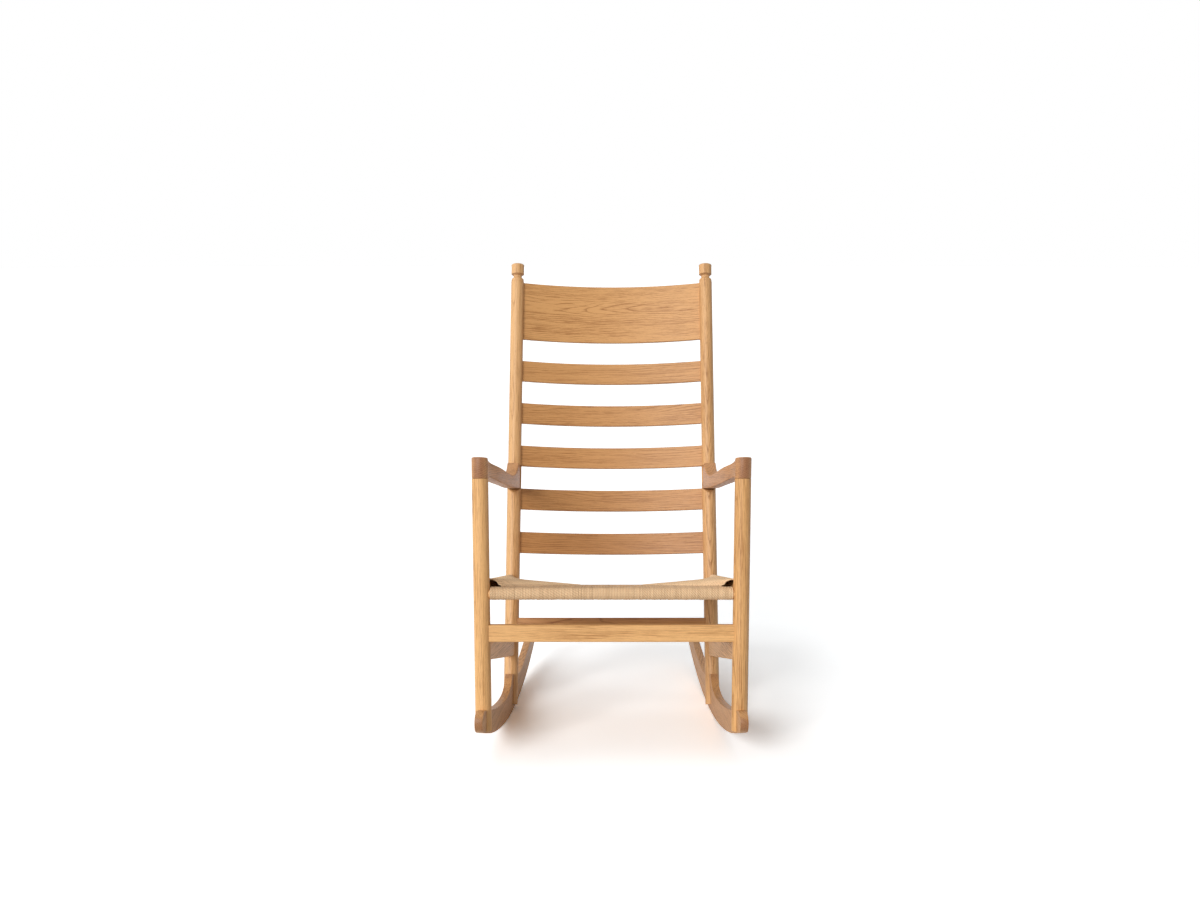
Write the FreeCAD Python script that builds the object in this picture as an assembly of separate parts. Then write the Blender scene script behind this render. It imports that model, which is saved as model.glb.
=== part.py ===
import FreeCAD
import Part
import math
import os

from FreeCAD import Placement, Rotation, Vector

os.makedirs("parts", exist_ok=True)

# Sizes in millimetres. The sitter faces -Y and the sitter's left is +X. The floor is at height 0.
# Every left-hand piece is drawn here and the right-hand one is its mirror image.

# Fits
glue_gap = 0.1
cord_gap = 0.3
mortise_spare = 0.6
overrun = 40.0

# Rear post: its axis runs from the middle of the foot's end to the top of the knob
post_foot_x = 251.6
post_foot_y = 43.7
post_foot_z = 11.0
post_top_x = 245.9
post_top_y = 437.3
post_top_z = 1083.3
post_foot_chamfer = 1.0
post_low_radius = 17.6
post_high_radius = 16.7
post_taper_length = 8.0

# The knob on top of the post, and the neck and the small bead below it
knob_height = 29.3
neck_length = 8.2
bead_height = 9.4
quirk_depth = 0.8
quirk_height = 1.6
bead_radius = 16.2
bead_round = 4.0
neck_radius = 11.0
neck_slope = 1.5
knob_under_radius = 12.4
knob_radius = 16.6
knob_under_chamfer = 3.2
knob_top_chamfer = 1.4

# Front leg: its axis runs from the middle of the foot's end to the arm
leg_foot_x = 284.8
leg_foot_y = -309.9
leg_foot_z = 73.0
leg_top_x = 289.8
leg_top_y = -237.5
leg_top_z = 631.9
leg_radius = 18.2
leg_foot_chamfer = 1.5
leg_tenon_radius = 10.0
leg_tenon_length = 26.0

# Rocker: a board on edge, toed in towards the back. Its outline is (along, height).
rocker_x = 257.2
rocker_toe_share = 0.089
rocker_thickness = 18.0
rocker_radius = 1030.0
rocker_contact = 55.0
nose_radius = 23.8
nose_centre = -348.8
nose_blend_share = 0.17
rocker_front_line = [(-285.0, 112.7), (-200.0, 86.5), (-120.0, 69.5), (-45.0, 60.5), (3.0, 67.0)]
rocker_horn_start = (22.0, 78.5)
rocker_horn = (34.0, 93.5)
rocker_landing_length = 57.5
rocker_rear_line = [(110.0, 66.8), (150.0, 60.8), (235.0, 69.0), (334.0, 87.0)]
tail_along = 425.4
tail_above_edge = 17.1
tail_radius = 21.7
tail_blend_share = 0.26

# Arm: outlines from the side as (along, height) and from above as (along, outward)
arm_toe_share = 0.084
arm_top_line = [(-32.0, 686.5), (20.0, 672.0), (68.0, 655.7), (136.0, 636.3), (217.0, 614.3)]
arm_top_line += [(322.0, 584.8), (390.0, 576.3)]
arm_horn_start = (426.0, 582.2)
arm_horn = (453.0, 593.1)
arm_under_line = [(68.0, 621.5), (136.0, 601.0), (221.0, 579.0), (322.0, 553.5), (390.0, 539.2)]
arm_under_start = 24.0
arm_under_end = (530.0, 514.0)
arm_outer_line = [(69.0, 13.3), (140.0, 9.2), (206.0, 7.4), (271.0, 6.0), (333.0, 6.6), (390.0, 9.1)]
arm_inner_line = [(64.0, -13.2), (129.0, -17.9), (195.0, -18.7), (271.0, -18.8), (390.0, -18.4)]
arm_outer_end = (540.0, 18.0)
arm_inner_end = (540.0, -9.0)
arm_edge_chamfer = 1.3
arm_tenon_thickness = 11.0
arm_tenon_depth = 9.0
arm_tenon_shoulder = 14.0
arm_seat_bottom = 545.9
arm_seat_height = 59.6
arm_rim_length = 75.0
arm_shoulder_radius = 18.2

# Back slats: bowed boards between the posts, with equal gaps from the crest downward
slat_thickness = 9.0
slat_bow = 42.0
slat_edge_chamfer = 1.2
slat_depth_in_post = 13.0
slat_height = 54.0
slat_gap = 58.1
slat_count = 5
crest_height = 152.4
crest_below_bead = 1.6

# Seat rails: distances are measured up the leg and up the post
rail_radius = 10.5
rail_tenon_radius = 7.0
rail_tenon_depth = 20.0
side_rail_up_leg = 323.7
side_rail_up_post = 312.4
front_rail_below_side = 15.9
rear_rail_below_side = 29.5
rear_rail_bow = 27.8
rear_rail_drop = 5.2
rear_rail_runs = 7

# Stretchers: distances are measured up the leg and up the post
stretcher_thickness = 20.6
stretcher_edge_chamfer = 1.6
stretcher_tenon_thickness = 10.0
stretcher_tenon_shoulder = 6.0
stretcher_tenon_depth = 21.0
front_stretcher_up = 220.2
front_stretcher_height = 37.8
rear_stretcher_up = 194.5
rear_stretcher_height = 41.5
side_stretcher_up_leg = 178.3
side_stretcher_height_leg = 37.7
side_stretcher_up_post = 146.6
side_stretcher_height_post = 51.0

# Woven seat: cord rolls round the rails, and four fields that meet at the middle
roll_radius = 14.0
seat_middle_y = -72.0
seat_middle_top = 353.7
seat_middle_thickness = 19.0
seam_start_share = 0.08
rear_roll_bare = 9.0
rear_field_steps = 3

# Directions
across = Vector(1, 0, 0)
upward = Vector(0, 0, 1)
middle = Vector(0, 0, 0)
full_turn = 360
lengthwise_share = 0.9


def outline(*runs):
    """A closed face. A run of two points is a straight line, of three an arc, of more a smooth curve."""
    edges = []
    for points in runs:
        if len(points) == 2:
            edges.append(Part.LineSegment(*points).toShape())
        elif len(points) == 3:
            edges.append(Part.Arc(*points).toShape())
        else:
            curve = Part.BSplineCurve()
            curve.interpolate(list(points))
            edges.append(curve.toShape())
    return Part.Face(Part.Wire(edges))


def straight(*points):
    """The straight runs from each point to the next."""
    return list(zip(points, points[1:]))


def turned(face, foot, axis):
    """A turned body: the half outline beside the upward line, spun round it and set on the axis."""
    body = face.revolve(middle, upward, full_turn)
    return body.transformed(Placement(foot, Rotation(upward, axis)).toMatrix(), True)


def placed(body, frame):
    return body.transformed(frame.toMatrix(), True)


def upright_frame(origin, heading):
    """Along the heading, then across it, then straight up."""
    return Placement(origin, Rotation(heading, upward.cross(heading), upward))


def leaning_frame(foot, axis):
    """Across the chair, then backward, then up the lean of a pair of posts or legs."""
    lean = Vector(0, axis.y, axis.z)
    lean.normalize()
    return Placement(Vector(0, foot.y, foot.z), Rotation(across, lean.cross(across), lean))


def direction(start, end):
    step = end - start
    step.normalize()
    return step


def board(x_from, x_to, thickness, z_from, z_to):
    """A straight board along local X, its thickness along local Y."""
    body = Part.makeBox(x_to - x_from, thickness, z_to - z_from)
    body.translate(Vector(x_from, -thickness / 2, z_from))
    return body


def eased(body, heading, size):
    """The board with its four long edges chamfered."""
    edges = []
    for edge in body.Edges:
        if abs(edge.tangentAt(edge.FirstParameter).dot(heading)) > lengthwise_share:
            edges.append(edge)
    return body.makeChamfer(size, edges)


def bowed(section, half_length, half_chord, bow):
    """A section, drawn round the middle of local X, swept along a level arc to both ends."""
    arc_radius = (half_chord ** 2 + bow ** 2) / (2 * bow)
    pivot = Vector(0, bow - arc_radius, 0)
    half_angle = math.degrees(math.asin(half_length / arc_radius))
    start = section.copy()
    start.rotate(pivot, upward, half_angle)
    return start.revolve(pivot, upward, -2 * half_angle)


def mirrored(body):
    return body.mirror(middle, across)


# The two leaning frames
post_foot = Vector(post_foot_x, post_foot_y, post_foot_z)
post_top = Vector(post_top_x, post_top_y, post_top_z)
post_axis = direction(post_foot, post_top)
post_length = post_foot.distanceToPoint(post_top)
back_frame = leaning_frame(post_foot, post_axis)

leg_foot = Vector(leg_foot_x, leg_foot_y, leg_foot_z)
leg_top = Vector(leg_top_x, leg_top_y, leg_top_z)
leg_axis = direction(leg_foot, leg_top)
leg_length = leg_foot.distanceToPoint(leg_top)
front_frame = leaning_frame(leg_foot, leg_axis)

# Heights up the post
arm_seat_top = arm_seat_bottom + arm_seat_height
knob_bottom = post_length - knob_height
bead_top = knob_bottom - neck_length
bead_bottom = bead_top - bead_height
crest_top = bead_bottom - crest_below_bead
first_slat_top = crest_top - crest_height - slat_gap
slat_tops = [first_slat_top - (slat_height + slat_gap) * step for step in range(slat_count)]


def on_post(distance):
    return post_foot + post_axis * distance


def on_leg(distance):
    return leg_foot + leg_axis * distance


def post_body():
    """The turned post with its neck and knob."""

    def at(radius, height):
        return Vector(radius, 0, height)

    foot_edge = at(post_low_radius - post_foot_chamfer, 0)
    foot_side = at(post_low_radius, post_foot_chamfer)
    taper_low = at(post_low_radius, arm_seat_top + glue_gap)
    taper_high = at(post_high_radius, arm_seat_top + post_taper_length)
    bead_start = at(post_high_radius, bead_bottom)
    quirk = at(post_high_radius - quirk_depth, bead_bottom + quirk_height / 2)
    bead_low = at(bead_radius, bead_bottom + quirk_height)
    bead_side = at(bead_radius, bead_top - bead_round)
    bead_inset = bead_round - bead_round / math.sqrt(2)
    bead_shoulder = at(bead_radius - bead_inset, bead_top - bead_inset)
    bead_end = at(bead_radius - bead_round, bead_top)
    neck_low = at(neck_radius, bead_top + neck_slope)
    neck_high = at(neck_radius, knob_bottom - neck_slope)
    knob_under = at(knob_under_radius, knob_bottom)
    knob_side = at(knob_radius, knob_bottom + knob_under_chamfer)
    knob_shoulder = at(knob_radius, post_length - knob_top_chamfer)
    knob_rim = at(knob_radius - knob_top_chamfer, post_length)
    knob_tip = at(0, post_length)
    shaft = (middle, foot_edge, foot_side, taper_low, taper_high, bead_start)
    bead = (quirk, bead_low, bead_side, bead_shoulder, bead_end)
    knob = (neck_low, neck_high, knob_under, knob_side, knob_shoulder, knob_rim, knob_tip)
    return turned(outline(*straight(*shaft, *bead, *knob, middle)), post_foot, post_axis)


def leg_body():
    """The turned leg without its tenon."""
    foot_edge = Vector(leg_radius - leg_foot_chamfer, 0, 0)
    foot_side = Vector(leg_radius, 0, leg_foot_chamfer)
    top_side = Vector(leg_radius, 0, leg_length)
    face = outline(*straight(middle, foot_edge, foot_side, top_side, Vector(0, 0, leg_length), middle))
    return turned(face, leg_foot, leg_axis)


def post_cutter(gap):
    """A bar along the post's axis for what meets the post between its foot and the arm."""
    return Part.makeCylinder(post_low_radius + gap, post_length, post_foot, post_axis)


def leg_cutter(gap):
    return Part.makeCylinder(leg_radius + gap, leg_length, leg_foot, leg_axis)


# Rocker: the nose circle touches the rolling edge, and the tail knob stands a little below it
rocker_heading = direction(middle, Vector(-rocker_toe_share, 1, 0))
rocker_frame = upright_frame(Vector(rocker_x, 0, 0), rocker_heading)
post_lean = back_frame.Rotation.multVec(Vector(0, 1, 0))
landing = direction(middle, Vector(post_lean.y, 0, post_lean.z))


def rocker_body(thickness, lift):
    """The rocker board in its own plane, raised by the lift to make the slots that straddle it."""
    circle_centre = Vector(rocker_contact, 0, rocker_radius)
    nose_drop = math.sqrt((rocker_radius - nose_radius) ** 2 - (nose_centre - rocker_contact) ** 2)
    nose_middle = Vector(nose_centre, 0, rocker_radius - nose_drop)
    nose_low = circle_centre + direction(circle_centre, nose_middle) * rocker_radius
    nose_front = nose_middle - Vector(nose_radius, 0, 0)
    nose_high = nose_middle + direction(middle, Vector(nose_blend_share, 0, 1)) * nose_radius
    edge_drop = math.sqrt(rocker_radius ** 2 - (tail_along - rocker_contact) ** 2)
    tail_middle = Vector(tail_along, 0, rocker_radius - edge_drop + tail_above_edge)
    tail_high = tail_middle + direction(middle, Vector(-tail_blend_share, 0, 1)) * tail_radius
    tail_back = tail_middle + Vector(tail_radius, 0, 0)
    reach = circle_centre.distanceToPoint(tail_middle)
    spread = (rocker_radius ** 2 + reach ** 2 - tail_radius ** 2) / (2 * rocker_radius * reach)
    to_tail = direction(circle_centre, tail_middle)
    turn = Rotation(Vector(0, 1, 0), math.degrees(math.acos(spread)))
    lip = circle_centre + turn.multVec(to_tail) * rocker_radius
    lowest = Vector(rocker_contact, 0, 0)
    horn = Vector(rocker_horn[0], 0, rocker_horn[1])
    landing_end = horn + landing * rocker_landing_length
    horn_start = Vector(rocker_horn_start[0], 0, rocker_horn_start[1])
    front_line = [nose_high] + [Vector(along, 0, height) for along, height in rocker_front_line]
    front_line += [horn_start, horn]
    rear_line = [landing_end] + [Vector(along, 0, height) for along, height in rocker_rear_line] + [tail_high]
    face = outline(
        (nose_low, nose_front, nose_high),
        front_line,
        (horn, landing_end),
        rear_line,
        (tail_high, tail_back, lip),
        (lip, lowest, nose_low),
    )
    face.translate(Vector(0, -thickness / 2, lift))
    return face.extrude(Vector(0, thickness, 0))


rocker_slot = placed(rocker_body(rocker_thickness + 2 * glue_gap, glue_gap), rocker_frame)

# Arm: the side outline and the plan outline are crossed. The plan is drawn square to the leg, so that
# the arm's round front end goes on from the leg's.
arm_heading = direction(middle, Vector(-arm_toe_share, 1, 0))
arm_frame = upright_frame(Vector(leg_top.x, leg_top.y, 0), arm_heading)
arm_plan_frame = Placement(leg_top, Rotation(arm_heading, leg_axis.cross(arm_heading), leg_axis))


def arm_tenon(extra):
    """The stub tenon on the arm's rear end, in the middle of the post's seat for it."""
    low = arm_seat_bottom + arm_tenon_shoulder
    high = arm_seat_top - arm_tenon_shoulder
    middle_x = on_post((low + high) / 2).x + (post_high_radius - arm_tenon_thickness) / 2
    depth = arm_tenon_depth + extra
    body = Part.makeBox(arm_tenon_thickness + 2 * extra, depth + arm_tenon_depth, high - low + 2 * extra)
    body.translate(Vector(middle_x - arm_tenon_thickness / 2 - extra, -arm_tenon_depth, low - extra))
    return placed(body, back_frame)


def arm_rims(body, side):
    """The long edges of the arm ahead of the post, on its inner side, 1, or its outer side, -1."""
    rims = []
    for edge in body.Edges:
        centre = edge.CenterOfMass
        beside = arm_plan_frame.inverse().multVec(centre).y * side
        if edge.Length > arm_rim_length and centre.y < on_post(arm_seat_bottom).y and beside > 0:
            rims.append(edge)
    return rims


def arm():
    seat_slope = leg_axis.y / leg_axis.z
    seat_front = Vector(-overrun, 0, leg_top.z + glue_gap + overrun * seat_slope)
    seat_back = Vector(arm_under_start, 0, leg_top.z + glue_gap - arm_under_start * seat_slope)
    horn = Vector(arm_horn[0], 0, arm_horn[1])
    horn_start = Vector(arm_horn_start[0], 0, arm_horn_start[1])
    top_line = [Vector(along, 0, height) for along, height in arm_top_line] + [horn_start, horn]
    landing_end = horn + landing * 2 * overrun
    under_end = Vector(arm_under_end[0], 0, arm_under_end[1])
    under_line = [seat_back] + [Vector(along, 0, height) for along, height in arm_under_line] + [under_end]
    side_face = outline(
        *straight(seat_back, seat_front, top_line[0]),
        top_line,
        *straight(horn, landing_end, under_end),
        under_line[::-1],
    )
    side_face.translate(Vector(0, -overrun, 0))
    side_body = placed(side_face.extrude(Vector(0, 2 * overrun, 0)), arm_frame)

    outer_line = [Vector(0, -leg_radius, 0)] + [Vector(along, -out, 0) for along, out in arm_outer_line]
    inner_line = [Vector(0, leg_radius, 0)] + [Vector(along, -out, 0) for along, out in arm_inner_line]
    outer_line.append(Vector(arm_outer_end[0], -arm_outer_end[1], 0))
    inner_line.append(Vector(arm_inner_end[0], -arm_inner_end[1], 0))
    plan_face = outline(
        (inner_line[0], Vector(-leg_radius, 0, 0), outer_line[0]),
        outer_line,
        (outer_line[-1], inner_line[-1]),
        inner_line[::-1],
    )
    rise = Vector(0, 0, 4 * overrun)
    plan_face.translate(-rise)
    body = side_body.common(placed(plan_face.extrude(2 * rise), arm_plan_frame))
    for side in (1, -1):
        body = body.makeChamfer(arm_edge_chamfer, arm_rims(body, side))
    behind = Part.makeBox(overrun * 8, overrun * 4, overrun * 8)
    behind.translate(Vector(post_foot_x - overrun * 4, -glue_gap, arm_seat_bottom - overrun * 4))
    body = body.cut(placed(behind, back_frame)).fuse(arm_tenon(0))
    socket_start = leg_top - leg_axis * overrun
    body = body.cut(Part.makeCylinder(arm_under_start, overrun + glue_gap, socket_start, leg_axis))
    socket_length = overrun + leg_tenon_length + mortise_spare
    return body.cut(Part.makeCylinder(leg_tenon_radius + glue_gap, socket_length, socket_start, leg_axis))


# The open notch in the front of the post: a flat seat, with a rounded shoulder below it
def arm_notch():
    shoulder = arm_shoulder_radius
    seat_low = Vector(0, 0, arm_seat_bottom)
    seat_high = Vector(0, 0, arm_seat_top + glue_gap)
    out_high = Vector(0, -overrun, arm_seat_top + glue_gap)
    out_low = Vector(0, -overrun, arm_seat_bottom - shoulder)
    shoulder_low = Vector(0, -shoulder, arm_seat_bottom - shoulder)
    half = shoulder / math.sqrt(2)
    shoulder_middle = Vector(0, -half, arm_seat_bottom - shoulder + half)
    shoulder_arc = (shoulder_low, shoulder_middle, seat_low)
    face = outline(*straight(seat_low, seat_high, out_high, out_low, shoulder_low), shoulder_arc)
    face.translate(Vector(post_foot_x - overrun, 0, 0))
    return placed(face.extrude(Vector(2 * overrun, 0, 0)), back_frame)


# Slats
def slat(top, height, extra):
    """A bowed slat that enters the post whole; the extra size makes its mortise."""
    half_thickness = slat_thickness / 2 + extra
    section = board(0, overrun, 2 * half_thickness, top - height - extra, top + extra)
    section.translate(Vector(0, slat_bow, 0))
    section = eased(section, across, slat_edge_chamfer)
    ends = [face for face in section.Faces if abs(face.CenterOfMass.x) < glue_gap]
    half_chord = on_post(top - height / 2).x
    half_length = half_chord - post_high_radius + slat_depth_in_post + extra * mortise_spare / glue_gap
    return placed(bowed(ends[0], half_length, half_chord, slat_bow), back_frame)


# Rails
def straight_rail(start, end, cutters, tenon_ends):
    """A round rail between two turned members, shouldered against them, with a tenon at each end."""
    length = start.distanceToPoint(end)
    heading = direction(start, end)
    body = Part.makeCylinder(rail_radius, length, start, heading)
    for cutter in cutters:
        body = body.cut(cutter)
    tenon_start = start + heading * tenon_ends[0]
    tenon_length = length - tenon_ends[0] - tenon_ends[1]
    return body.fuse(Part.makeCylinder(rail_tenon_radius, tenon_length, tenon_start, heading))


def rail_hole(start, end, tenon_ends):
    """The holes in both members for a straight rail's tenons."""
    heading = direction(start, end)
    near = tenon_ends[0] - mortise_spare
    far = tenon_ends[1] - mortise_spare
    length = start.distanceToPoint(end) - near - far
    return Part.makeCylinder(rail_tenon_radius + glue_gap, length, start + heading * near, heading)


leg_rail_end = leg_radius - rail_tenon_depth
post_rail_end = post_low_radius - rail_tenon_depth

front_rail_left = on_leg(side_rail_up_leg - front_rail_below_side)
front_rail_right = Vector(-front_rail_left.x, front_rail_left.y, front_rail_left.z)
side_rail_front = on_leg(side_rail_up_leg)
side_rail_back = on_post(side_rail_up_post)
rear_rail_left = on_post(side_rail_up_post - rear_rail_below_side)
rear_rail_sag = direction(middle, Vector(0, rear_rail_bow, -rear_rail_drop))
rear_rail_turn = Rotation(across, rear_rail_sag, across.cross(rear_rail_sag))
rear_rail_frame = Placement(Vector(0, rear_rail_left.y, rear_rail_left.z), rear_rail_turn)
rear_bow = math.hypot(rear_rail_bow, rear_rail_drop)
rear_bow_radius = (rear_rail_left.x ** 2 + rear_bow ** 2) / (2 * rear_bow)


def rear_rail_point(x):
    """The middle of the rear rail at a distance from the chair's middle, in the rail's own frame."""
    return Vector(x, rear_bow - rear_bow_radius + math.sqrt(rear_bow_radius ** 2 - x ** 2), 0)


def rear_bowed_bar(radius, half_length):
    """A round bar that follows the rear rail's bow in short straight runs, mitred where they meet."""
    points = []
    for step in range(rear_rail_runs + 1):
        points.append(rear_rail_point(half_length * (2 * step / rear_rail_runs - 1)))
    path = Part.Wire([Part.LineSegment(*ends).toShape() for ends in straight(*points)])
    ring = Part.Wire(Part.makeCircle(radius, points[0], points[1] - points[0]))
    mitred_corners = 1
    return placed(path.makePipeShell([ring], True, False, mitred_corners), rear_rail_frame)


def rear_rail_tenon(extra):
    """The straight tenon at the left end of the rear rail, along the end of its bow."""
    end_heading = direction(middle, Vector(rear_bow_radius - rear_bow, -rear_rail_left.x, 0))
    heading = rear_rail_turn.multVec(end_heading)
    start = rear_rail_left - heading * (post_low_radius + rail_tenon_depth)
    length = 2 * rail_tenon_depth + extra * mortise_spare / glue_gap
    return Part.makeCylinder(rail_tenon_radius + extra, length, start, heading)


def rear_rail():
    cutter = post_cutter(glue_gap)
    body = rear_bowed_bar(rail_radius, rear_rail_left.x).cut(cutter).cut(mirrored(cutter))
    return body.fuse([rear_rail_tenon(0), mirrored(rear_rail_tenon(0))])


# Stretchers
def level_stretcher(half_length, up, height, frame, cutter, end):
    """A straight board between a pair of legs or posts, coped to them, with a tenon at each end."""
    body = board(-half_length, half_length, stretcher_thickness, up - height / 2, up + height / 2)
    body = placed(eased(body, across, stretcher_edge_chamfer), frame).cut(cutter).cut(mirrored(cutter))
    return body.fuse(level_tenon(half_length - end, up, height, frame, 0))


def level_tenon(half_length, up, height, frame, extra):
    half_height = height / 2 - stretcher_tenon_shoulder + extra
    thickness = stretcher_tenon_thickness + 2 * extra
    return placed(board(-half_length, half_length, thickness, up - half_height, up + half_height), frame)


leg_tenon_end = leg_radius - stretcher_tenon_depth
post_tenon_end = post_low_radius - stretcher_tenon_depth
front_stretcher_x = on_leg(front_stretcher_up).x
rear_stretcher_x = on_post(rear_stretcher_up).x

side_stretcher_front = on_leg(side_stretcher_up_leg)
side_stretcher_back = on_post(side_stretcher_up_post)
side_run = side_stretcher_back - side_stretcher_front
side_heading = direction(middle, Vector(side_run.x, side_run.y, 0))
side_frame = upright_frame(side_stretcher_front, side_heading)


def side_board(thickness, trim, front_end, back_end):
    """The side stretcher's board, deeper at the back, with its edges moved in by the trim."""
    half_front = side_stretcher_height_leg / 2 - trim
    half_back = side_stretcher_height_post / 2 - trim
    corners = []
    for point in (
        on_leg(side_stretcher_up_leg - half_front),
        on_leg(side_stretcher_up_leg + half_front),
        on_post(side_stretcher_up_post + half_back),
        on_post(side_stretcher_up_post - half_back),
    ):
        local = side_frame.inverse().multVec(point)
        corners.append(Vector(local.x, -thickness / 2, local.z))
    run = math.hypot(side_run.x, side_run.y)
    low_step = (corners[3] - corners[0]) / run
    high_step = (corners[2] - corners[1]) / run
    corners = [
        corners[0] + low_step * front_end,
        corners[1] + high_step * front_end,
        corners[2] - high_step * back_end,
        corners[3] - low_step * back_end,
    ]
    return outline(*straight(*corners, corners[0])).extrude(Vector(0, thickness, 0))


def side_stretcher():
    body = eased(side_board(stretcher_thickness, 0, 0, 0), across, stretcher_edge_chamfer)
    body = placed(body, side_frame).cut(leg_cutter(glue_gap)).cut(post_cutter(glue_gap))
    return body.fuse(side_tenon(0))


def side_tenon(extra):
    spare = extra * mortise_spare / glue_gap
    thickness = stretcher_tenon_thickness + 2 * extra
    trim = stretcher_tenon_shoulder - extra
    return placed(side_board(thickness, trim, leg_tenon_end - spare, post_tenon_end - spare), side_frame)


# Rear post: turned, then cut for everything that goes into it
def rear_post():
    body = post_body().cut(rocker_slot).cut(arm_notch()).cut(arm_tenon(glue_gap))
    for top, height in [(crest_top, crest_height)] + [(top, slat_height) for top in slat_tops]:
        body = body.cut(slat(top, height, glue_gap))
    body = body.cut(rail_hole(side_rail_front, side_rail_back, (leg_rail_end, post_rail_end)))
    body = body.cut(rear_rail_tenon(glue_gap))
    reach = rear_stretcher_x - post_tenon_end + mortise_spare
    body = body.cut(level_tenon(reach, rear_stretcher_up, rear_stretcher_height, back_frame, glue_gap))
    return body.cut(side_tenon(glue_gap))


# Front leg: turned, with a round tenon for the arm, and slotted over the rocker
def front_leg():
    body = leg_body().fuse(Part.makeCylinder(leg_tenon_radius, leg_tenon_length, leg_top, leg_axis))
    body = body.cut(rocker_slot)
    body = body.cut(rail_hole(front_rail_left, front_rail_right, (leg_rail_end, leg_rail_end)))
    body = body.cut(rail_hole(side_rail_front, side_rail_back, (leg_rail_end, post_rail_end)))
    reach = front_stretcher_x - leg_tenon_end + mortise_spare
    body = body.cut(level_tenon(reach, front_stretcher_up, front_stretcher_height, front_frame, glue_gap))
    return body.cut(side_tenon(glue_gap))


# Woven seat: flat fields run from the rails to the seams, where the cords turn
def seat_faces(rail_points, seam_points):
    """The top, the underside and the outer wall of the left half, from the front's middle to the back's."""
    half = Vector(0, 0, roll_radius)
    faces = []
    for start, end, seam_start, seam_end in zip(rail_points, rail_points[1:], seam_points, seam_points[1:]):
        faces.append(outline(*straight(start + half, end + half, end - half, start - half, start + half)))
        for side, offset in enumerate((half, -half)):
            rail_edge = (start + offset, end + offset)
            faces.append(outline(*straight(*rail_edge, seam_start[side], rail_edge[0])))
            if seam_start[side].distanceToPoint(seam_end[side]) > cord_gap:
                faces.append(outline(*straight(rail_edge[1], seam_end[side], seam_start[side], rail_edge[1])))
    return faces


def woven_seat():
    half = Vector(0, 0, roll_radius)
    middle_top = Vector(0, seat_middle_y, seat_middle_top)
    middle_ends = (middle_top, middle_top - Vector(0, 0, seat_middle_thickness))
    seam_front = Vector(front_rail_left.x, side_rail_front.y, front_rail_left.z)
    seam_back = rear_rail_left
    seam_front = seam_front + (middle_top - seam_front) * seam_start_share
    seam_back = seam_back + (middle_top - seam_back) * seam_start_share
    front_ends = (seam_front + half, seam_front - half)
    back_ends = (seam_back + half, seam_back - half)
    rail_share = (seat_middle_y - side_rail_front.y) / (side_rail_back.y - side_rail_front.y)
    side_middle = side_rail_front + (side_rail_back - side_rail_front) * rail_share
    side_points = []
    rear_points = []
    back_seam = []
    for step in range(rear_field_steps + 1):
        share = step / rear_field_steps
        rear_points.append(rear_rail_frame.multVec(rear_rail_point(rear_rail_left.x * share)))
        side_points.append(side_middle + (side_rail_back - side_middle) * share)
        back_seam.append([start + (end - start) * share for start, end in zip(middle_ends, back_ends)])
    front_middle = Vector(0, front_rail_left.y, front_rail_left.z)
    rail_points = [front_middle, front_rail_left, side_rail_front] + side_points + rear_points[::-1]
    seam_points = [middle_ends, front_ends, front_ends] + back_seam + back_seam[::-1]
    faces = seat_faces(rail_points, seam_points)
    shell = Part.makeShell(faces + [mirrored(face) for face in faces])
    shell.sewShape()
    web = Part.makeSolid(shell)
    side_run_length = side_rail_front.distanceToPoint(side_rail_back)
    side_rail_heading = direction(side_rail_front, side_rail_back)
    roll_start = side_rail_front - side_rail_heading * (roll_radius / 2)
    side_roll = Part.makeCylinder(roll_radius, side_run_length, roll_start, side_rail_heading)
    front_roll = Part.makeCylinder(roll_radius, 2 * front_rail_left.x, front_rail_right, across)
    rear_roll = rear_bowed_bar(roll_radius, rear_rail_left.x - post_low_radius - rear_roll_bare)
    body = web.fuse(side_roll).fuse(mirrored(side_roll)).fuse(front_roll).fuse(rear_roll)
    bar_radius = rail_radius + cord_gap
    side_bar = Part.makeCylinder(bar_radius, side_run_length, side_rail_front, side_rail_heading)
    front_bar = Part.makeCylinder(bar_radius, 2 * front_rail_left.x, front_rail_right, across)
    rear_bar = rear_bowed_bar(bar_radius, rear_rail_left.x)
    for cutter in (side_bar, leg_cutter(cord_gap), post_cutter(cord_gap)):
        body = body.cut(cutter).cut(mirrored(cutter))
    return body.cut(front_bar).cut(rear_bar)


pieces = {}
pairs = {
    "rocker": placed(rocker_body(rocker_thickness, 0), rocker_frame),
    "rear_post": rear_post(),
    "front_leg": front_leg(),
    "arm": arm(),
    "stretcher": side_stretcher(),
    "seat_rail": straight_rail(
        side_rail_front,
        side_rail_back,
        (leg_cutter(glue_gap), post_cutter(glue_gap)),
        (leg_rail_end, post_rail_end),
    ),
}
for name, left_body in pairs.items():
    pieces["left_" + name] = left_body
    pieces["right_" + name] = mirrored(left_body)

pieces["crest_slat"] = slat(crest_top, crest_height, 0)
for number, top in enumerate(slat_tops, start=1):
    pieces["ladder_slat_" + str(number)] = slat(top, slat_height, 0)

pieces["front_stretcher"] = level_stretcher(
    front_stretcher_x,
    front_stretcher_up,
    front_stretcher_height,
    front_frame,
    leg_cutter(glue_gap),
    leg_tenon_end,
)
pieces["rear_stretcher"] = level_stretcher(
    rear_stretcher_x,
    rear_stretcher_up,
    rear_stretcher_height,
    back_frame,
    post_cutter(glue_gap),
    post_tenon_end,
)
pieces["front_seat_rail"] = straight_rail(
    front_rail_right,
    front_rail_left,
    (leg_cutter(glue_gap), mirrored(leg_cutter(glue_gap))),
    (leg_rail_end, leg_rail_end),
)
pieces["rear_seat_rail"] = rear_rail()
pieces["woven_seat"] = woven_seat()

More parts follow.
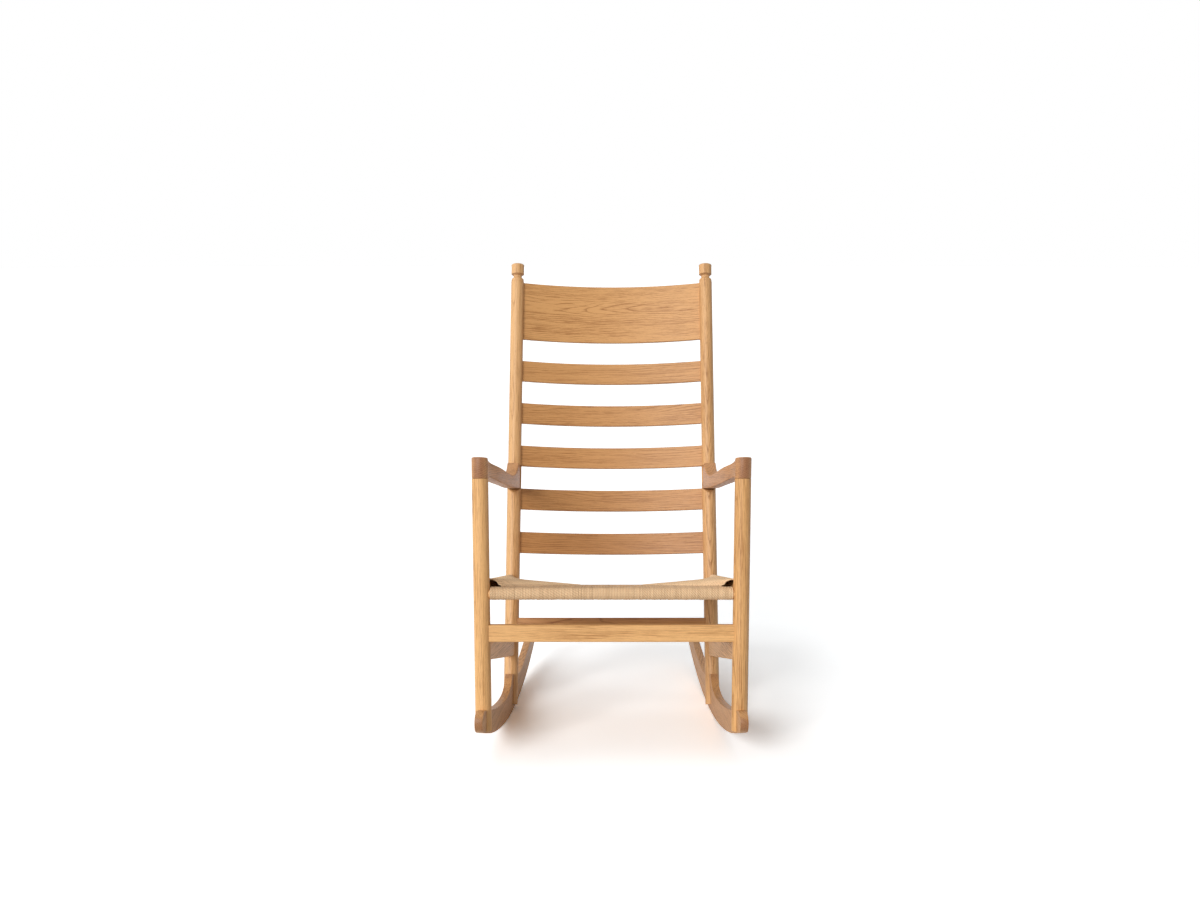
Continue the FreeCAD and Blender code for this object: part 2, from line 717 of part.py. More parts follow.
# The row's origin is under the middle of the chair, on the floor
front_end = min(piece.optimalBoundingBox().YMin for piece in pieces.values())
back_end = max(piece.optimalBoundingBox().YMax for piece in pieces.values())
for name, piece in pieces.items():
    solid = piece.Solids[0]
    solid.translate(Vector(0, -(front_end + back_end) / 2, 0))
    solid.exportStep(os.path.join("parts", name + ".step"))
    print(name, len(piece.Solids), solid.isValid(), round(solid.Volume))
print("middle", (front_end + back_end) / 2)
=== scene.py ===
import math
import random

import bmesh
import bpy
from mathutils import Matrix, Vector


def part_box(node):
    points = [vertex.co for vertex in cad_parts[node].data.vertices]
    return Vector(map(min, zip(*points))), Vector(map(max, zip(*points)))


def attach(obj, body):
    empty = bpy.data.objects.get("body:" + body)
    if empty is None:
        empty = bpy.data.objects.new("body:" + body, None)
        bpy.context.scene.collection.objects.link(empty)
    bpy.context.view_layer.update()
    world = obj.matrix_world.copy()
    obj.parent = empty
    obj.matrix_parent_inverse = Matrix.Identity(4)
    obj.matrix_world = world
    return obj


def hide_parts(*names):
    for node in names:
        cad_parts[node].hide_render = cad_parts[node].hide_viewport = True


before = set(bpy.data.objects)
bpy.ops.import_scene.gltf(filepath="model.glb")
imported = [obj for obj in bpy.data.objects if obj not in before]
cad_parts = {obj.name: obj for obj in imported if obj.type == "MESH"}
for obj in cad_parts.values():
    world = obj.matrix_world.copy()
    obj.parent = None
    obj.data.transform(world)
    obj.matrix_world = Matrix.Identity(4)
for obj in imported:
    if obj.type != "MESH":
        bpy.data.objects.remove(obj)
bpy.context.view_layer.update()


# The photograph's view: the camera stands in front of the chair at a seated person's eye height
# and looks slightly down at it. The lens is shifted to put the chair where the photograph has it.
def placed(name, data):
    """A new object with this data, put in the scene at the origin."""
    body = bpy.data.objects.new(name, data)
    bpy.context.scene.collection.objects.link(body)
    return body


look_down = math.radians(11.06)
camera = placed("camera", bpy.data.cameras.new("camera"))
camera.location = (0.0, -3.2301, 1.1446)
camera.rotation_euler = (math.pi / 2 - look_down, 0, 0)
camera.data.sensor_width = 36.0
camera.data.lens = 40.72
camera.data.shift_x = -0.0096
camera.data.shift_y = 0.0471
bpy.context.scene.camera = camera
bpy.context.scene.view_settings.view_transform = "Standard"


# Rockers: two boards of oiled oak, sawn to their curve and rounded over by hand, so every arris
# is soft. The legs and posts stand astride them in bridle joints, glued.
class Wire:
    """An output of a shader node. Sums written on it become Math nodes."""

    def __init__(self, tree, socket):
        self.tree = tree
        self.socket = socket

    def sum(self, operation, first, second):
        return node(self.tree, "ShaderNodeMath", {"operation": operation}, {0: first, 1: second})

    def __add__(self, other):
        return self.sum("ADD", self, other)

    __radd__ = __add__

    def __sub__(self, other):
        return self.sum("SUBTRACT", self, other)

    def __rsub__(self, other):
        return self.sum("SUBTRACT", other, self)

    def __mul__(self, other):
        return self.sum("MULTIPLY", self, other)

    __rmul__ = __mul__

    def __truediv__(self, other):
        return self.sum("DIVIDE", self, other)

    def __rtruediv__(self, other):
        return self.sum("DIVIDE", other, self)

    def __pow__(self, other):
        return self.sum("POWER", self, other)

    def __rpow__(self, other):
        return self.sum("POWER", other, self)

    def out(self, name):
        """Another output of the same node."""
        return Wire(self.tree, self.socket.node.outputs[name])


def give(tree, inputs, values):
    """Gives sockets their values, or links them where the value is a wire."""
    for name, value in values.items():
        if isinstance(value, Wire):
            tree.links.new(value.socket, inputs[name])
        else:
            inputs[name].default_value = value


def node(tree, kind, settings=None, values=None, output=0):
    """Adds a node, makes its settings, then gives its sockets their values or links."""
    made = tree.nodes.new(kind)
    for name, value in (settings or {}).items():
        setattr(made, name, value)
    give(tree, made.inputs, values or {})
    return Wire(tree, made.outputs[output])


def mixed(tree, share, first, second, blend="MIX"):
    """A colour between two colours. The colours are the Mix node's inputs 6 and 7, its output 2."""
    settings = {"data_type": "RGBA", "blend_type": blend}
    return node(tree, "ShaderNodeMix", settings, {0: share, 6: first, 7: second}, 2)


def step_up(tree, value, low, high):
    """0 below low, 1 above high, and smooth between them."""
    values = {"Value": value, "From Min": low, "From Max": high}
    return node(tree, "ShaderNodeMapRange", {"interpolation_type": "SMOOTHSTEP"}, values)


def vector_sum(tree, operation, values, output="Vector"):
    """A Vector Math node."""
    return node(tree, "ShaderNodeVectorMath", {"operation": operation}, values, output)


def finish_of(name, kind="ShaderNodeBsdfPrincipled"):
    """An empty material and its node tree, with one shader joined to its output."""
    material = bpy.data.materials.new(name)
    material.use_nodes = True
    tree = material.node_tree
    tree.nodes.clear()
    shader = node(tree, kind)
    surface = tree.nodes.new("ShaderNodeOutputMaterial").inputs["Surface"]
    tree.links.new(shader.socket, surface)
    return material, tree, shader.socket.node


# Each kind of unevenness in the wood: cells in a metre across and along the grain, the shift that
# gives it a pattern of its own, and the noise's detail and roughness.
unevenness = {
    "wander": (10.0, 2.6, 0.0, 2.0, 0.5),
    "ripple": (75.0, 9.0, 7.3, 2.0, 0.5),
    "patch": (26.0, 4.0, 4.4, 1.0, 0.5),
    "cloud": (16.0, 3.2, 1.9, 2.0, 0.5),
    "streak": (330.0, 6.5, 5.7, 2.0, 0.5),
    "fleck": (700.0, 24.0, 8.2, 2.0, 0.5),
    "fibre": (1900.0, 60.0, 3.1, 2.0, 0.6),
    "pore": (2600.0, 120.0, 9.9, 1.0, 0.5),
}
# How much each kind darkens the wood.
darkening = {"streak": 1.5, "fleck": 1.9, "fibre": 1.3, "cloud": 0.9}
tone_shift = -0.02

# Growth rings, and the broad bands of good and poor years. A span is where a thing starts to show
# and where it shows in full.
rings_per_metre = 260.0
bands_per_metre = 37.0
ring_wander = 0.034
ring_ripple = 0.0042
early_span = (0.02, 0.34)
late_span = (0.60, 0.98)
patch_span = (0.30, 0.74)
band_span = (0.15, 0.95)
early_dark = 0.62
late_dark = 0.16
band_dark = 0.24
ring_least = 0.35
ring_swing = 0.95

# Pores, mostly in the early wood of a ring, and end grain, which takes up more oil.
pore_span = (0.56, 0.68)
pore_early = 0.8
pore_late = 0.2
pore_share = 0.5
pore_shade = (0.5, 0.42, 0.34)
end_span = (0.25, 0.95)
end_stain = (0.56, 0.48, 0.50)
end_stain_share = 0.85

# The oiled surface: its relief and its gloss.
relief_depth = 0.0004
relief_strength = 0.3
fibre_relief = 0.5
pore_relief = 0.8
early_relief = 0.2
oiled_roughness = 0.46
roughness_swing = 0.2
oiled_gloss = 0.4


def log_place(tree, middle, along, pith, bow, half_width):
    """A point's place in the log that its piece was cut from: two ways across the grain, and along."""
    turn = Vector(along).rotation_difference(Vector((0, 0, 1)))
    place = node(tree, "ShaderNodeTexCoord", output="Object")
    if bow is not None:
        share = node(tree, "ShaderNodeSeparateXYZ", values={0: place}) / half_width
        shift = vector_sum(tree, "SCALE", {0: bow, "Scale": 1.0 - share * share})
        place = vector_sum(tree, "SUBTRACT", {0: place, 1: shift})
    pith_place = Vector(pith) - turn @ Vector(middle)
    values = {"Vector": place, "Location": pith_place, "Rotation": turn.to_euler()}
    grain = node(tree, "ShaderNodeMapping", {"vector_type": "POINT"}, values)
    side = node(tree, "ShaderNodeSeparateXYZ", values={0: grain})
    return side, side.out("Y"), side.out("Z")


def oak(name, middle, along, pith, colours, seed, bow=None, half_width=1.0):
    """Oiled oak cut from one log. The rings lie round a pith that runs along the grain, and in a bent
    board they follow its bow."""
    material, tree, shader = finish_of(name)
    pale, dark = colours
    side, deep, long = log_place(tree, middle, along, pith, bow, half_width)

    def noise(kind):
        across_cells, along_cells, shift, detail, roughness = unevenness[kind]
        values = {"X": side * across_cells + (seed + shift), "Y": deep * across_cells}
        place = node(tree, "ShaderNodeCombineXYZ", values={**values, "Z": long * along_cells})
        values = {"Vector": place, "Scale": 1.0, "Detail": detail, "Roughness": roughness}
        return node(tree, "ShaderNodeTexNoise", {"noise_dimensions": "3D"}, values)

    def saw(value):
        return node(tree, "ShaderNodeMath", {"operation": "FRACT"}, {0: value})

    radius = (side * side + deep * deep) ** 0.5
    radius = radius + (noise("wander") - 0.5) * ring_wander + (noise("ripple") - 0.5) * ring_ripple
    ring = saw(radius * rings_per_metre)
    early = 1.0 - step_up(tree, ring, *early_span)
    late = step_up(tree, ring, *late_span)
    strong = step_up(tree, noise("patch"), *patch_span)
    band = step_up(tree, saw(radius * bands_per_metre), *band_span)
    fibre = noise("fibre") - 0.5
    pores = step_up(tree, noise("pore"), *pore_span) * (early * pore_early + pore_late)

    tone = (early * early_dark + late * late_dark) * (strong * ring_swing + ring_least)
    tone = tone + band * band_dark + fibre * darkening["fibre"] + tone_shift
    for kind in ("streak", "fleck", "cloud"):
        tone = tone + (noise(kind) - 0.5) * darkening[kind]
    tone = node(tree, "ShaderNodeClamp", values={0: tone})
    colour = mixed(tree, tone, (*pale, 1), (*dark, 1))
    pore_colour = [level * shade for level, shade in zip(dark, pore_shade)]
    colour = mixed(tree, pores * pore_share, colour, (*pore_colour, 1))
    heading = {0: node(tree, "ShaderNodeTexCoord", output="Normal"), 1: Vector(along).normalized()}
    facing = vector_sum(tree, "DOT_PRODUCT", heading, "Value")
    end_grain = step_up(tree, facing * facing, *end_span)
    colour = mixed(tree, end_grain * end_stain_share, colour, (*end_stain, 1), "MULTIPLY")

    relief = fibre * fibre_relief - pores * pore_relief - early * early_relief
    values = {"Strength": relief_strength, "Distance": relief_depth, "Height": relief}
    normal = node(tree, "ShaderNodeBump", values=values)
    rough = fibre * roughness_swing + pores * roughness_swing + oiled_roughness
    values = {"Base Color": colour, "Roughness": rough, "Normal": normal}
    give(tree, shader.inputs, {**values, "Specular IOR Level": oiled_gloss})
    return material


def clothe(name, along, pith, colours, seed, **bend):
    """Gives a solid of the frame its own cut of oak."""
    low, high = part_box(name)
    cut = oak(name + "_oak", (low + high) / 2, along, pith, colours, seed, **bend)
    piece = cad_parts[name]
    piece.data.materials.clear()
    piece.data.materials.append(cut)


weld_gap = 0.00002
sharpest_left = math.radians(38)


def soften(name, width):
    """Rounds over the long edges of a solid of the frame, as a hand plane and paper leave them."""
    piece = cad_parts[name]
    weld = piece.modifiers.new("weld", "WELD")
    weld.merge_threshold = weld_gap
    round_over = piece.modifiers.new("round_over", "BEVEL")
    round_over.width = width
    round_over.segments = 3
    round_over.limit_method = "ANGLE"
    round_over.angle_limit = sharpest_left
    round_over.harden_normals = True


# Each oak is a pale and a dark colour, between which its figure lies.
# The rockers' oak is painted darker than the legs': painted shade for their low place and their faces
# turned to the sides.
rocker_oak_with_painted_shade = ((0.57, 0.292, 0.113), (0.29, 0.122, 0.039))
rocker_toe_in = 0.089
rocker_rise = 0.02
rocker_pith = (0.016, 0.045, 0)
rocker_round = 0.003
for side_name, sign, seed in (("left", 1, 11.0), ("right", -1, 23.0)):
    along = (-rocker_toe_in * sign, 1.0, rocker_rise)
    clothe(side_name + "_rocker", along, rocker_pith, rocker_oak_with_painted_shade, seed)
    soften(side_name + "_rocker", rocker_round)


# Rear posts: turned from straight oak, leaning back, each with a bead, a neck and a knob on top.
# The slats, the arms and the rails are let into them with glued tenons.
def painted_shade_and_tone(colours, share, dark_share=None):
    """The same oak darker and redder by a share: painted shade on the crest, the slats and the rear
    stretcher, and a small difference in tone between the left and right posts and legs. Its dark colour
    may have a share of its own.
    """
    channel_falls = (1.0, 1.35, 1.68)
    return tuple(
        tuple(level * part ** fall for level, fall in zip(colour, channel_falls))
        for colour, part in zip(colours, (share, dark_share or share))
    )


# The posts' oak is a little darker and less orange than the legs'; the darkness is painted shade for
# their place further back in the chair.
post_oak_with_painted_shade = ((0.745, 0.430, 0.188), (0.415, 0.195, 0.064))
post_splay = 0.005
post_run = 0.3446
post_rise = 0.9387
post_pith_depth = 0.045
# Each post's side, seed, tilt of its grain, place of its pith, and tone.
post_cuts = (("left", 1, 31.0, 0.055, 0.002, 0.94), ("right", -1, 47.0, 0.012, 0.03, 1.0))
for side_name, sign, seed, tilt, pith_aside, share in post_cuts:
    along = (-post_splay * sign, post_run + tilt, post_rise)
    post_pith = (pith_aside, post_pith_depth, 0)
    clothe(side_name + "_rear_post", along, post_pith, painted_shade_and_tone(post_oak_with_painted_shade, share, share ** 2), seed)

# Front legs: turned oak, nearly upright, with a tenon at the top in the arm and a slot at the
# foot over the rocker. Both are glued.
golden_oak = ((0.80, 0.448, 0.176), (0.43, 0.194, 0.056))
leg_splay = 0.0089
leg_run = 0.1285
leg_rise = 0.9917
leg_tilt = 0.02
leg_pith = (0.05, 0.03, 0)
for side_name, sign, seed, share in (("left", 1, 53.0, 0.94), ("right", -1, 61.0, 1.0)):
    along = (leg_splay * sign, leg_run - leg_tilt * sign, leg_rise)
    clothe(side_name + "_front_leg", along, leg_pith, painted_shade_and_tone(golden_oak, share, share ** 2), seed)

# Back slats: sawn from thick oak and bent to a shallow bow, with their ends tenoned into the
# posts. The broad crest shows the long flames of a board cut near the bark.
slat_bow = 0.042
post_spread = 0.246
back_way = Vector((0, post_rise, -post_run))
slat_bend = {"bow": back_way * slat_bow, "half_width": post_spread}
crest_along = (1, 0.040, -0.012)
crest_pith = (0.030, 0.048, 0)
# The crest's oak is painted darker than the legs': painted shade for its place further back in the
# chair.
clothe("crest_slat", crest_along, crest_pith, painted_shade_and_tone(golden_oak, 0.81), 71.0, **slat_bend)
# Each slat's oak is painted darker than the legs', the lowest most: painted shade for their place
# further back and under the arms, with a little difference from board to board.
slat_painted_shades = (0.74, 0.71, 0.71, 0.68, 0.62)
slat_pith_aside = 0.075
slat_pith_sway = 0.012
slat_pith_depth = 0.035
slat_pith_step = 0.006
slat_swing = 0.03
slat_climb = 0.02
for number, share in enumerate(slat_painted_shades, start=1):
    pith_aside = slat_pith_aside + slat_pith_sway * math.sin(number * 2.1)
    slat_pith = (pith_aside, slat_pith_depth + slat_pith_step * number, 0)
    slat_along = (1, slat_swing * math.cos(number * 1.7), slat_climb * math.sin(number))
    slat_name = "ladder_slat_" + str(number)
    clothe(slat_name, slat_along, slat_pith, painted_shade_and_tone(golden_oak, share), 73.0 + 5 * number, **slat_bend)

# Stretchers: straight planed boards of oak, one in front, one at the rear and one on each side.
# Their ends are tenoned into the legs and posts.
straight_across = (1, 0, 0)
front_pith = (0.05, 0.02, 0)
rear_pith = (0.03, 0.06, 0)
side_pith = (0.05, 0.03, 0)
side_narrowing = 0.09
stretcher_fall = 0.13
clothe("front_stretcher", straight_across, front_pith, golden_oak, 101.0)
# The rear stretcher's oak is painted much darker: painted shade for the seat's shadow over it.
clothe("rear_stretcher", straight_across, rear_pith, painted_shade_and_tone(golden_oak, 0.60), 107.0)
for side_name, sign, seed in (("left", 1, 113.0), ("right", -1, 127.0)):
    along = (-side_narrowing * sign, 1, -stretcher_fall)
    clothe(side_name + "_stretcher", along, side_pith, golden_oak, seed)

# Seat rails: turned oak bars with round tenons in the legs and posts. The cord is wound round
# them, so only their ends show.
front_rail_pith = (0.04, 0.01, 0)
rear_rail_pith = (0.04, 0.02, 0)
side_rail_pith = (0.04, 0, 0)
rail_fall = 0.21
clothe("front_seat_rail", straight_across, front_rail_pith, golden_oak, 131.0)
clothe("rear_seat_rail", straight_across, rear_rail_pith, golden_oak, 137.0)
for side_name, sign, seed in (("left", 1, 139.0), ("right", -1, 149.0)):
    along = (-side_narrowing * sign, 1, -rail_fall)
    clothe(side_name + "_seat_rail", along, side_rail_pith, golden_oak, seed)

# Arms: shaped from thick oak, coloured darker and redder than the legs. They sit on the front legs'
# tenons and in open notches in the posts, and their edges are softened by hand.
arm_oak = ((0.58, 0.290, 0.120), (0.29, 0.120, 0.048))
arm_toe_in = 0.084
arm_fall = 0.18
arm_pith = (0.02, 0.05, 0)
arm_round = 0.0025
for side_name, sign, seed in (("left", 1, 151.0), ("right", -1, 163.0)):
    clothe(side_name + "_arm", (-arm_toe_in * sign, 1, -arm_fall), arm_pith, arm_oak, seed)
    soften(side_name + "_arm", arm_round)

# Woven seat: paper cord, wound round the four rails from the corners inward. Each cord comes over
# its rail, runs to the seam, and turns there under the cords of the next side.
cord_thickness = 0.0034
cord_pitch = 0.00345
cord_sides = 8
cord_play = 0.0009
play_cells = 160.0
row_shift = -0.045955


def row_point(x, y, z):
    """A point given in the source's own millimetres, in the frame, whose origin lies elsewhere."""
    return Vector((x * 0.001, y * 0.001 + row_shift, z * 0.001))


# The middle lines of the left leg and post, and how far up them the rails' middle lines meet them.
leg_foot = row_point(284.8, -309.9, 73.0)
leg_top = row_point(289.8, -237.5, 631.9)
post_foot = row_point(251.6, 43.7, 11.0)
post_top = row_point(245.9, 437.3, 1083.3)
leg_line = (leg_top - leg_foot).normalized()
post_line = (post_top - post_foot).normalized()
front_rail_up_leg = 0.3078
side_rail_up_leg = 0.3237
side_rail_up_post = 0.3124
rear_rail_up_post = 0.2829
front_corner = leg_foot + leg_line * front_rail_up_leg
side_front = leg_foot + leg_line * side_rail_up_leg
side_back = post_foot + post_line * side_rail_up_post
back_corner = post_foot + post_line * rear_rail_up_post

# How far the outermost cords stay from those lines, and the bow of the rear rail.
leg_clear = 0.0187
post_clear = 0.0181
bare_end = 0.009
rail_bow_back = 0.0278
rail_bow_down = 0.0052
rail_bow = math.hypot(rail_bow_back, rail_bow_down)
bow_way = Vector((0, rail_bow_back, -rail_bow_down)).normalized()
bow_radius = (back_corner.x ** 2 + rail_bow ** 2) / (2 * rail_bow)

# The seams run from each corner to an end of the short middle line, on top of the seat and below.
middle_top = row_point(68.0, -72.0, 347.0)
middle_under = row_point(68.0, -72.0, 333.0)
front_seam_top = Vector((0.248, -0.300, 0.3905))
side_seam_top = Vector((0.248, -0.297, 0.3935))
front_seam_under = Vector((0.263, -0.308, 0.3665))
back_seam_top = Vector((0.226, 0.086, 0.2905))
back_seam_under = Vector((0.226, 0.086, 0.2650))

# One cord: its wrap round the rail, how it settles between seam and rail, and how its ends are
# tucked in at the seam. A tuck is a depth and a run.
wrap_radius = 0.0123
wrap_least = -0.0004
wrap_most = 0.0003
wrap_steps = 9
top_shares = (0.25, 0.5, 0.75, 0.93)
under_shares = (0.3, 0.65, 1.0)
settle_least = 0.012
settle_run = 0.006
settle_clear = 0.009
corner_crown = 0.0080
lower_tuck = (0.0030, 0.0030)
upper_tuck = (0.0004, 0.0012)
hidden_drop = 0.0045
hidden_share = 0.4
end_run = 0.001
end_rise = 0.004
uneven = random.Random(5)


def cord_line(rail, outward, upright, seam_top, seam_under, tuck, crown=0.0):
    """The middle line of one cord: up from the seam, over and round the rail, and back below."""
    radius = wrap_radius + uneven.uniform(wrap_least, wrap_most)
    inward = -outward
    tuck_depth, tuck_run = tuck
    start = rail + upright * radius
    run = start - seam_top
    points = [
        seam_top + inward * tuck_run - upright * (tuck_depth + hidden_drop),
        seam_top + inward * tuck_run * hidden_share - upright * tuck_depth,
    ]
    if run.length > settle_least:
        points.append(seam_top + run * (settle_run / run.length))
        for share in top_shares:
            if run.length * share > settle_clear:
                points.append(seam_top + run * share + upright * (crown * 4 * share * (1 - share)))
    for step in range(wrap_steps + 1):
        angle = math.pi * step / wrap_steps
        points.append(rail + upright * (radius * math.cos(angle)) + outward * (radius * math.sin(angle)))
    wrap_end = points[-1]
    for share in under_shares:
        points.append(wrap_end.lerp(seam_under, share))
    points.append(seam_under + inward * end_run + upright * end_rise)
    return points


def within(share):
    """The share itself, or 0 or 1 where it lies outside them."""
    return min(1.0, max(0.0, share))


def seam_across(x, corner, middle):
    """Where a cord of the front or rear field meets the seam between a corner and the middle line."""
    point = middle.lerp(corner, within((abs(x) - middle.x) / (corner.x - middle.x)))
    point.x = x
    return point


def seam_along(y, corner, middle):
    """Where a cord of the left field meets that seam."""
    return middle.lerp(corner, within((y - middle.y) / (corner.y - middle.y)))


def rear_rail_middle(x):
    """A point of the rear rail's middle line, which is an arc."""
    level = rail_bow - bow_radius + math.sqrt(bow_radius ** 2 - x ** 2)
    return Vector((x, back_corner.y, back_corner.z)) + bow_way * level


def front_rail_middle(x):
    """A point of the front rail's middle line, which is straight."""
    return Vector((x, front_corner.y, front_corner.z))


def cross_field(half, rail_at, outward, seam_top, seam_under):
    """The middle lines of all the cords that run fore and aft, over the front or the rear rail."""
    upright = Vector((0, -outward.z, outward.y)) * math.copysign(1.0, outward.y)
    count = round(2 * half / cord_pitch)
    lines = []
    for number in range(count):
        x = -half + (number + 0.5) * 2 * half / count
        top = seam_across(x, seam_top, middle_top)
        under = seam_across(x, seam_under, middle_under)
        lines.append(cord_line(rail_at(x), outward, upright, top, under, lower_tuck))
    return lines


def side_field(sign):
    """The middle lines of all the cords that run across, over the left rail (1) or the right (-1)."""
    way = (side_back - side_front).normalized()
    start = leg_clear / way.y
    length = (side_back - side_front).length - start - post_clear / way.y
    count = round(length / cord_pitch)
    across = Vector((1, 0, 0))
    outward = (across - way * across.dot(way)).normalized()
    upright = outward.cross(way)
    lines = []
    for number in range(count):
        rail = side_front + way * (start + (number + 0.5) * length / count)
        front = rail.y < middle_top.y
        top = seam_along(rail.y, side_seam_top if front else back_seam_top, middle_top)
        under = seam_along(rail.y, front_seam_under if front else back_seam_under, middle_under)
        near_corner = within((rail.y - middle_top.y) / (side_seam_top.y - middle_top.y))
        line = cord_line(rail, outward, upright, top, under, upper_tuck, corner_crown * near_corner)
        lines.append([Vector((point.x * sign, point.y, point.z)) for point in line])
    return lines


def cord_tree(material):
    """A tree that turns lines into cords with closed ends, and the identifiers of its inputs."""
    tree = bpy.data.node_groups.new("wound_cord", "GeometryNodeTree")
    sockets = tree.interface
    sockets.new_socket("Lines", in_out="INPUT", socket_type="NodeSocketGeometry")
    kinds = {"Cord thickness": "Float", "Sides": "Int", "Play": "Float", "Seed": "Int"}
    inputs = [
        sockets.new_socket(name, in_out="INPUT", socket_type="NodeSocket" + kind)
        for name, kind in kinds.items()
    ]
    sockets.new_socket("Cords", in_out="OUTPUT", socket_type="NodeSocketGeometry")
    given = tree.nodes.new("NodeGroupInput")

    def fed(name):
        return Wire(tree, given.outputs[name])

    def kept(geometry, name, value, kind="FLOAT", domain="POINT"):
        """Keeps a value on the geometry, for the cord's material to read."""
        settings = {"data_type": kind, "domain": domain}
        values = {"Geometry": geometry, "Name": name, "Value": value}
        return node(tree, "GeometryNodeStoreNamedAttribute", settings, values)

    place = node(tree, "GeometryNodeInputPosition")
    values = {"Vector": place, "Scale": play_cells, "Detail": 1.0}
    wobble = node(tree, "ShaderNodeTexNoise", {"noise_dimensions": "3D"}, values, "Color")
    wobble = vector_sum(tree, "SUBTRACT", {0: wobble, 1: (0.5, 0.5, 0.5)})
    wobble = vector_sum(tree, "SCALE", {0: wobble, "Scale": fed("Play")})
    lines = node(tree, "GeometryNodeMeshToCurve", values={"Mesh": fed("Lines")})
    lines = node(tree, "GeometryNodeSetPosition", values={"Geometry": lines, "Offset": wobble})
    lines = kept(lines, "cord_length", node(tree, "GeometryNodeSplineParameter", output="Length"))
    chance_values = {2: 0.0, 3: 1.0, "ID": node(tree, "GeometryNodeInputIndex"), "Seed": fed("Seed")}
    chance = node(tree, "FunctionNodeRandomValue", {"data_type": "FLOAT"}, chance_values, 1)
    lines = kept(lines, "cord_tone", chance, domain="CURVE")
    values = {"Resolution": fed("Sides"), "Radius": fed("Cord thickness") / 2.0}
    ring = node(tree, "GeometryNodeCurvePrimitiveCircle", {"mode": "RADIUS"}, values)
    ring = kept(ring, "cord_round", node(tree, "GeometryNodeInputPosition"), "FLOAT_VECTOR")
    values = {"Curve": lines, "Profile Curve": ring, "Fill Caps": True}
    cords = node(tree, "GeometryNodeCurveToMesh", values=values)
    cords = node(tree, "GeometryNodeSetShadeSmooth", values={"Geometry": cords})
    cords = node(tree, "GeometryNodeRealizeInstances", values={"Geometry": cords})
    cords = node(tree, "GeometryNodeSetMaterial", values={"Geometry": cords, "Material": material})
    result = tree.nodes.new("NodeGroupOutput")
    tree.links.new(cords.socket, result.inputs["Cords"])
    return tree, [made.identifier for made in inputs]


twist_length = 0.011
cord_plies = 2.0
paper_pale = (0.92, 0.655, 0.40, 1)
paper_dark = (0.55, 0.345, 0.185, 1)
# How much painted shade darkens the grooves between plies, and how much the paper's specks and mottle
# and each cord's own tone darken it.
groove_span = (-1.0, -0.3)
groove_painted_shade = 0.7
speck_cells = 900.0
speck_dark = 1.4
mottle_cells = 24.0
mottle_dark = 0.3
cord_dark = 0.45
paper_shift = 0.05
ply_depth = 0.0005
ply_strength = 0.8
speck_relief = 0.4
paper_roughness = 0.72
paper_gloss = 0.3


def paper_cord():
    """Twisted brown paper: matt, a little mottled, with the plies showing as slanting lines in bump and
    in painted shade along the grooves between them.
    """
    material, tree, shader = finish_of("paper_cord")

    def stored(name, output="Fac"):
        return node(tree, "ShaderNodeAttribute", {"attribute_name": name}, output=output)

    place = node(tree, "ShaderNodeTexCoord", output="Object")

    def noise(cells):
        values = {"Vector": place, "Scale": cells, "Detail": 2.0}
        return node(tree, "ShaderNodeTexNoise", values=values) - 0.5

    around = node(tree, "ShaderNodeSeparateXYZ", values={0: stored("cord_round", "Vector")})
    angle = node(tree, "ShaderNodeMath", {"operation": "ARCTAN2"}, {0: around.out("Y"), 1: around})
    turn = angle + stored("cord_length") * (2 * math.pi / twist_length)
    ply = node(tree, "ShaderNodeMath", {"operation": "SINE"}, {0: turn * cord_plies})
    groove = step_up(tree, ply, *groove_span)
    specks = noise(speck_cells)
    # Painted shade in the grooves between plies, with the paper's specks, mottle and each cord's own
    # tone.
    shade = (1.0 - groove) * groove_painted_shade + specks * speck_dark + noise(mottle_cells) * mottle_dark
    shade = shade + (stored("cord_tone") - 0.5) * cord_dark + paper_shift
    shade = node(tree, "ShaderNodeClamp", values={0: shade})
    colour = mixed(tree, shade, paper_pale, paper_dark)
    height = groove + specks * speck_relief
    values = {"Strength": ply_strength, "Distance": ply_depth, "Height": height}
    normal = node(tree, "ShaderNodeBump", values=values)
    values = {"Base Color": colour, "Roughness": paper_roughness, "Normal": normal}
    give(tree, shader.inputs, {**values, "Specular IOR Level": paper_gloss})
    return material


front_half = front_corner.x - leg_clear
rear_half = back_corner.x - post_clear - bare_end
forward = Vector((0, -1, 0))
fields = {
    "front": cross_field(front_half, front_rail_middle, forward, front_seam_top, front_seam_under),
    "rear": cross_field(rear_half, rear_rail_middle, bow_way, back_seam_top, back_seam_under),
    "left": side_field(1),
    "right": side_field(-1),
}
cord_group, cord_inputs = cord_tree(paper_cord())
for number, (field, lines) in enumerate(fields.items()):
    points = []
    edges = []
    for line in lines:
        edges += [(len(points) + step, len(points) + step + 1) for step in range(len(line) - 1)]
        points += line
    guide_mesh = bpy.data.meshes.new(field + "_cord_lines")
    guide_mesh.from_pydata(points, edges, [])
    guide = placed(field + "_cord_lines", guide_mesh)
    winding = guide.modifiers.new("winding", "NODES")
    winding.node_group = cord_group
    for identifier, value in zip(cord_inputs, (cord_thickness, cord_sides, cord_play, number)):
        winding[identifier] = value
    wound = guide.evaluated_get(bpy.context.evaluated_depsgraph_get())
    cords_mesh = bpy.data.meshes.new_from_object(wound)
    bpy.data.objects.remove(guide)
    cords = placed(field + "_cords", cords_mesh)
    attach(cords, "root")
    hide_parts("woven_seat")


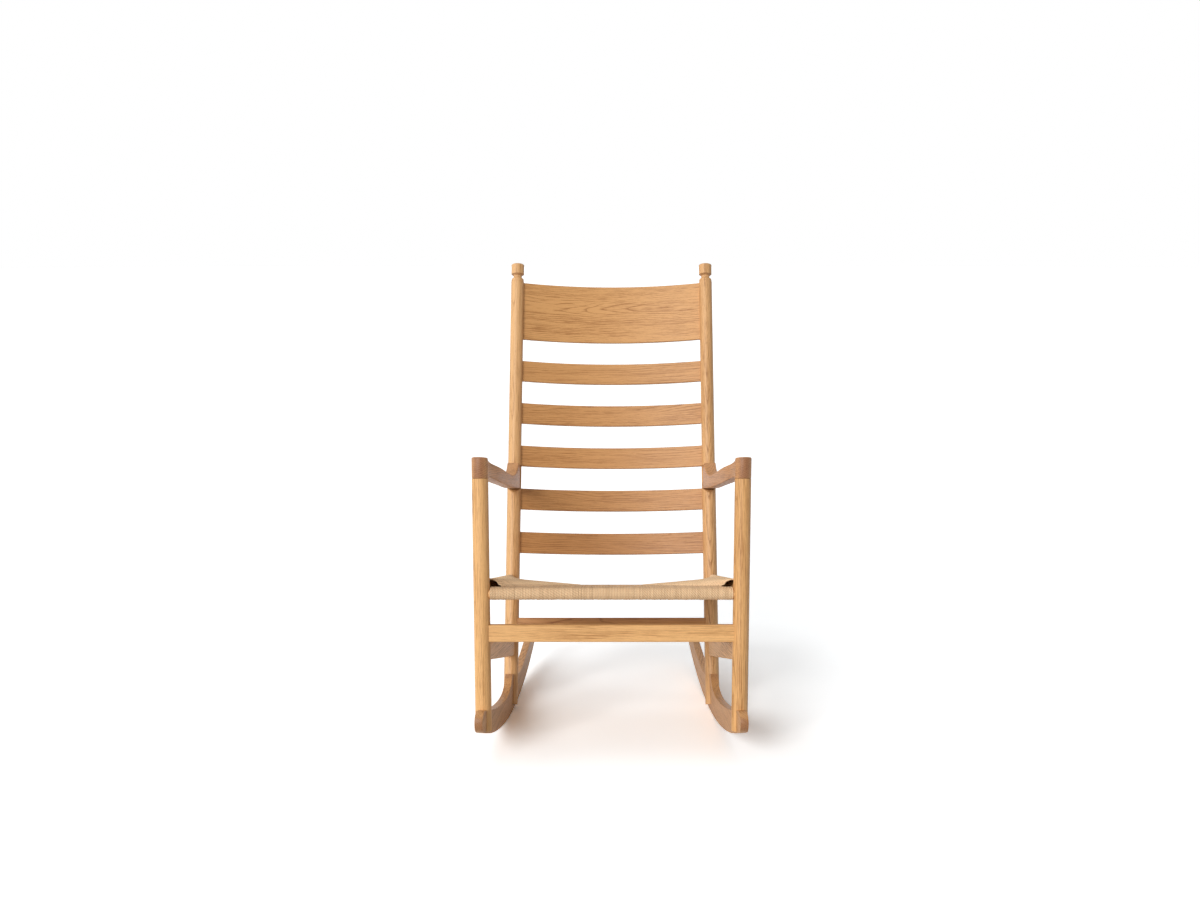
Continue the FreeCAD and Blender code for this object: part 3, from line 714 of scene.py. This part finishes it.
# Floor, backdrop and light: a plain white studio floor to the horizon, under broad soft lamps.
# The main lamp stands low in front and to the left, as the shadows in the photograph show.
def seen_directly(tree):
    """1 for rays from the camera and for reflections, where the studio is plain white."""
    path = node(tree, "ShaderNodeLightPath", output="Is Camera Ray")
    seen = path
    for kind in ("Is Glossy Ray", "Is Transmission Ray"):
        seen = node(tree, "ShaderNodeMath", {"operation": "MAXIMUM"}, {0: seen, 1: path.out(kind)})
    return seen


floor_radius = 60.0
floor_corners = 96
floor_lit = (0.6, 0.6, 0.6, 1)
floor_seen = (1.62, 1.65, 1.67, 1)
floor_mesh = bpy.data.meshes.new("floor")
floor_shape = bmesh.new()
bmesh.ops.create_circle(floor_shape, cap_ends=True, radius=floor_radius, segments=floor_corners)
floor_shape.to_mesh(floor_mesh)
floor_shape.free()
floor_paint, floor_tree, floor_shader = finish_of("floor_white", "ShaderNodeBsdfDiffuse")
floor_tone = mixed(floor_tree, seen_directly(floor_tree), floor_lit, floor_seen)
give(floor_tree, floor_shader.inputs, {"Color": floor_tone})
floor_mesh.materials.append(floor_paint)
floor = placed("floor", floor_mesh)

world = bpy.data.worlds.new("studio")
world.use_nodes = True
bpy.context.scene.world = world
sky = world.node_tree
sky.nodes.clear()
sky_level = 0.30
strength = seen_directly(sky) * (1.0 - sky_level) + sky_level
background = node(sky, "ShaderNodeBackground", values={"Color": (1, 1, 1, 1), "Strength": strength})
world_out = sky.nodes.new("ShaderNodeOutputWorld")
sky.links.new(background.socket, world_out.inputs["Surface"])


def soft_lamp(name, towards, softness, strength):
    """A broad distant lamp, which lights the floor evenly to the horizon."""
    light = bpy.data.lights.new(name, "SUN")
    light.angle = math.radians(softness)
    light.energy = strength
    placed(name, light).rotation_euler = Vector(towards).to_track_quat("Z", "Y").to_euler()


soft_lamp("key", towards=(-0.43, -0.82, 0.37), softness=26, strength=2.15)
soft_lamp("side", towards=(-1.0, -0.1, 0.30), softness=60, strength=0.80)
soft_lamp("top", towards=(-0.3, 0.2, 1.0), softness=60, strength=0.4)
